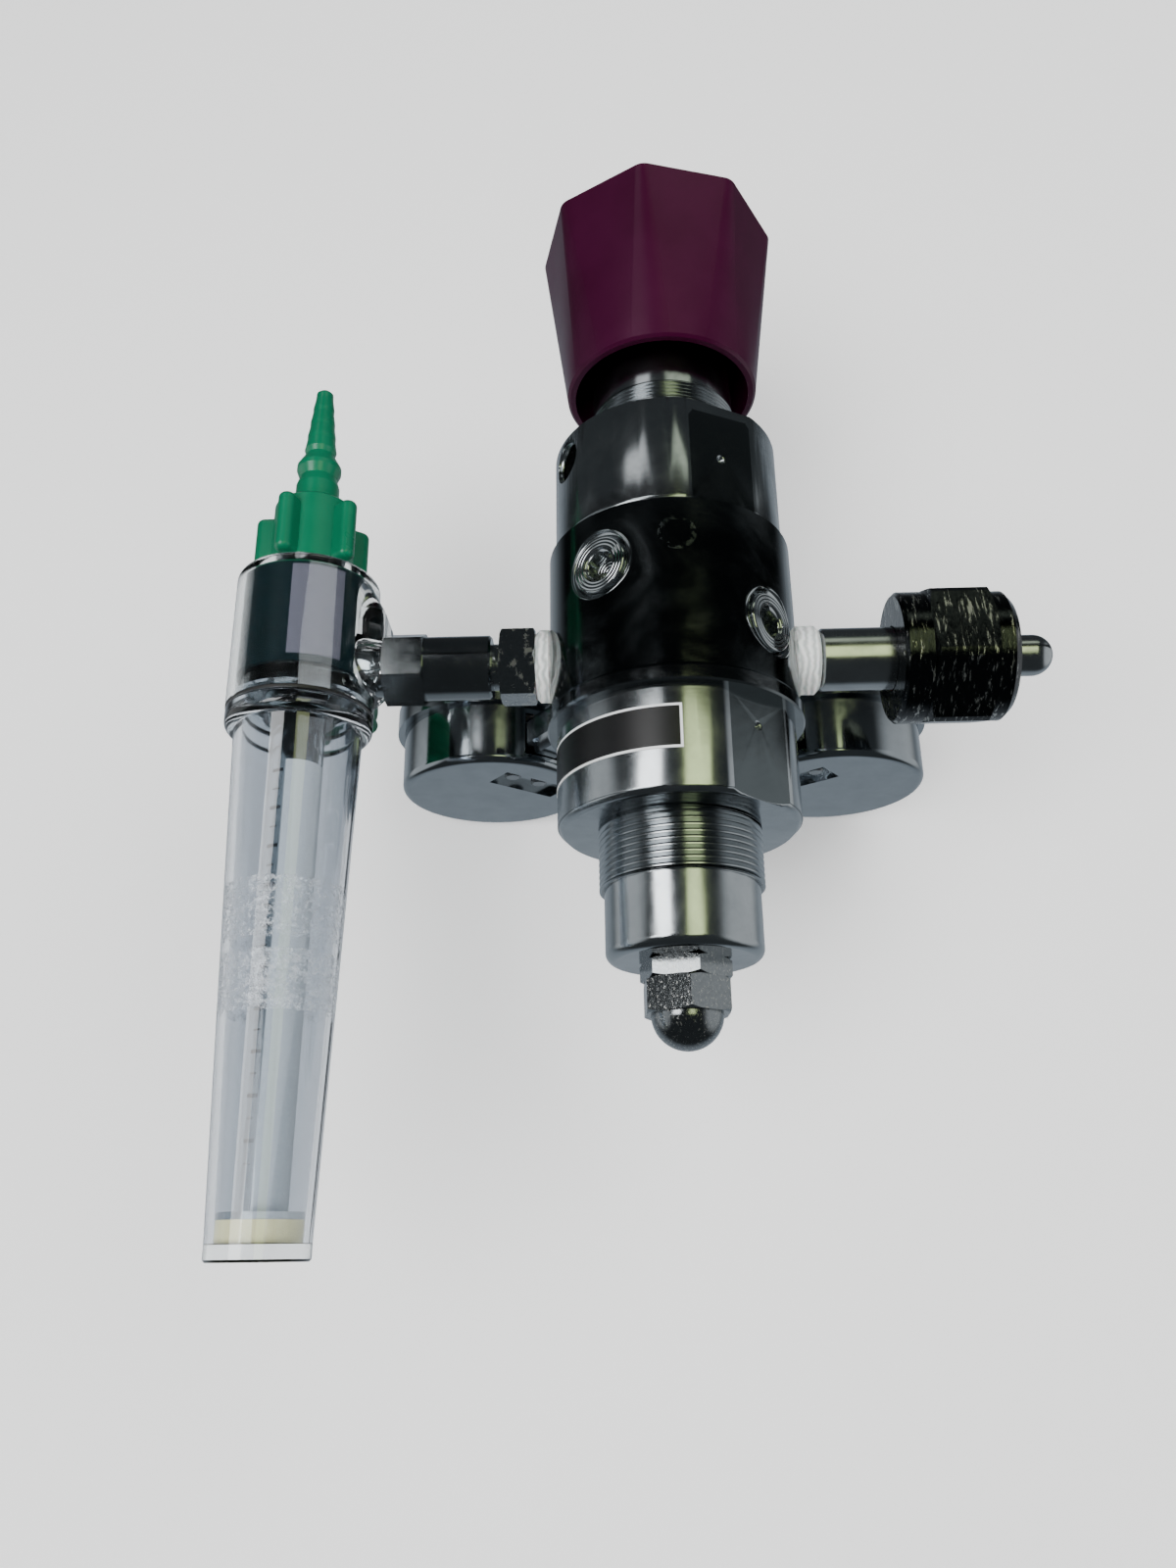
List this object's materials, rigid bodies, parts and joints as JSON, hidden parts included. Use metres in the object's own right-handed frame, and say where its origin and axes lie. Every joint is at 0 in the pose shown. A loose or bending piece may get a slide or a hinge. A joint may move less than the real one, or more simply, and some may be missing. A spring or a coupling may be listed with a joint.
{
  "type": "two-stage gas pressure regulator with flowmeter",
  "caption": "Chromed two-stage gas regulator with a lobed pressure knob, back gauges, a cylinder nut and a clear tube flowmeter with a hose barb.",
  "frame": {"origin": "centre of the ball nose on the inlet nipple, where the regulator seats in a cylinder valve", "axes": "+X out of the inlet, away from the body; +Y along the regulator's body towards the pressure knob; +Z away from the gauges, towards the side that shows the port plugs"},
  "size_m": [0.1907, 0.2526, 0.119],
  "materials": {
    "chrome_plate": "bright chrome plate on brass, light scratches",
    "satin_plate": "satin nickel plate on brass",
    "bare_brass": "turned brass",
    "spring_steel": "drawn spring steel",
    "turned_steel": "turned steel",
    "black_rubber": "moulded rubber",
    "burgundy_plastic": "moulded, fine satin grain",
    "green_plastic": "moulded green plastic",
    "dark_sleeve": "printed dark teal sleeve",
    "clear_plastic": "clear moulded plastic",
    "valve_block_plastic": "moulded pale plastic",
    "cream_plastic": "moulded cream plastic",
    "white_tape": "wound sealing tape",
    "dial_white": "white enamel",
    "pointer_black": "black enamel",
    "black_glass": "black glass ball",
    "clear_lens": "clear moulded window"
  },
  "bodies": {
    "regulator": {"regulator_body": "chrome_plate", "body_ring": "chrome_plate", "port_plugs": "chrome_plate", "upper_bonnet": "satin_plate", "lower_bonnet": "satin_plate", "delivery_diaphragm": "black_rubber", "first_diaphragm": "black_rubber", "delivery_spring_plate": "bare_brass", "first_spring_plate": "bare_brass", "delivery_spring": "spring_steel", "first_spring": "spring_steel", "first_spring_button": "turned_steel", "delivery_seat": "bare_brass", "first_seat": "bare_brass", "delivery_poppet_spring": "spring_steel", "first_poppet_spring": "spring_steel", "set_screw": "turned_steel", "lock_nut": "chrome_plate", "cap_nut": "chrome_plate", "inlet_nipple": "chrome_plate", "inlet_filter": "bare_brass", "inlet_tape": "white_tape", "outlet_nipple": "chrome_plate", "outlet_tape": "white_tape", "outlet_coupling": "satin_plate", "flowmeter_shell": "clear_plastic", "valve_block": "valve_block_plastic", "label_sleeve": "dark_sleeve", "ring_seal": "black_rubber", "cover_tube": "clear_plastic", "metering_tube": "clear_plastic", "end_disc": "cream_plastic", "end_cap": "clear_plastic", "valve_bonnet": "chrome_plate", "gauge_screws": "turned_steel", "inlet_gauge_case": "chrome_plate", "inlet_gauge_bezel": "chrome_plate", "inlet_gauge_lens": "clear_lens", "inlet_gauge_dial": "dial_white", "inlet_gauge_socket": "bare_brass", "outlet_gauge_case": "chrome_plate", "outlet_gauge_bezel": "chrome_plate", "outlet_gauge_lens": "clear_lens", "outlet_gauge_dial": "dial_white", "outlet_gauge_socket": "bare_brass"},
    "button": {"spring_button": "turned_steel"},
    "knob": {"adjusting_knob": "burgundy_plastic", "adjusting_screw": "turned_steel", "knob_screw": "turned_steel"},
    "delivery_valve": {"delivery_poppet": "bare_brass"},
    "first_valve": {"first_poppet": "bare_brass"},
    "cylinder_nut": {"inlet_nut": "chrome_plate"},
    "float": {"float_ball": "black_glass"},
    "flow_control": {"flow_knob": "green_plastic", "needle_valve": "turned_steel"},
    "hose_nipple": {"barb_nipple": "green_plastic"},
    "hose_nut": {"barb_nut": "green_plastic"},
    "inlet_pointer": {"inlet_gauge_pointer": "pointer_black"},
    "outlet_pointer": {"outlet_gauge_pointer": "pointer_black"}
  },
  "joints": [
    {"name": "pressure_screw", "type": "slide", "parent": "regulator", "child": "button", "axis": [0, -1, 0], "range_m": [0, 0.0102], "deforming": ["delivery_spring"]},
    {"name": "pressure_knob", "type": "hinge", "parent": "button", "child": "knob", "pos_m": [-0.0829, 0.1, 0], "axis": [0, -1, 0], "range_deg": [0, 2880]},
    {"name": "delivery_valve_lift", "type": "slide", "parent": "regulator", "child": "delivery_valve", "axis": [0, -1, 0], "range_m": [0, 0.0008], "stiffness_N_per_m": 300, "springref_m": -0.002, "deforming": ["delivery_poppet_spring"]},
    {"name": "first_valve_lift", "type": "slide", "parent": "regulator", "child": "first_valve", "axis": [0, 1, 0], "range_m": [0, 0.0008], "stiffness_N_per_m": 300, "springref_m": -0.002, "deforming": ["first_poppet_spring"]},
    {"name": "cylinder_nut_turn", "type": "hinge", "parent": "regulator", "child": "cylinder_nut", "pos_m": [-0.0179, 0, 0], "axis": [1, 0, 0], "continuous": true},
    {"name": "float_travel", "type": "slide", "parent": "regulator", "child": "float", "axis": [0, -1, 0], "range_m": [0, 0.095]},
    {"name": "flow_control_turn", "type": "hinge", "parent": "regulator", "child": "flow_control", "pos_m": [-0.1694, 0.008, -0.03], "axis": [0, 0, 1], "range_deg": [0, 1080]},
    {"name": "hose_nipple_lift", "type": "slide", "parent": "regulator", "child": "hose_nipple", "axis": [0, 1, 0], "range_m": [0, 0.0096]},
    {"name": "hose_nut_turn", "type": "hinge", "parent": "hose_nipple", "child": "hose_nut", "pos_m": [-0.1694, 0.035, 0], "axis": [0, 1, 0], "range_deg": [0, 2160]},
    {"name": "inlet_pointer_swing", "type": "hinge", "parent": "regulator", "child": "inlet_pointer", "pos_m": [-0.03692, 0.0104, -0.06214], "axis": [0, -1, 0], "range_deg": [0, 270], "stiffness_Nm_per_rad": 0.002, "springref_deg": -5.73},
    {"name": "outlet_pointer_swing", "type": "hinge", "parent": "regulator", "child": "outlet_pointer", "pos_m": [-0.13049, 0.0104, -0.06091], "axis": [0, -1, 0], "range_deg": [0, 270], "stiffness_Nm_per_rad": 0.002, "springref_deg": -5.73}
  ],
  "couplings": [
    {"joint": "pressure_screw", "follows": "pressure_knob", "m_per_rad": 0.00020213},
    {"joint": "hose_nipple_lift", "follows": "hose_nut_turn", "m_per_rad": 0.00025274}
  ]
}
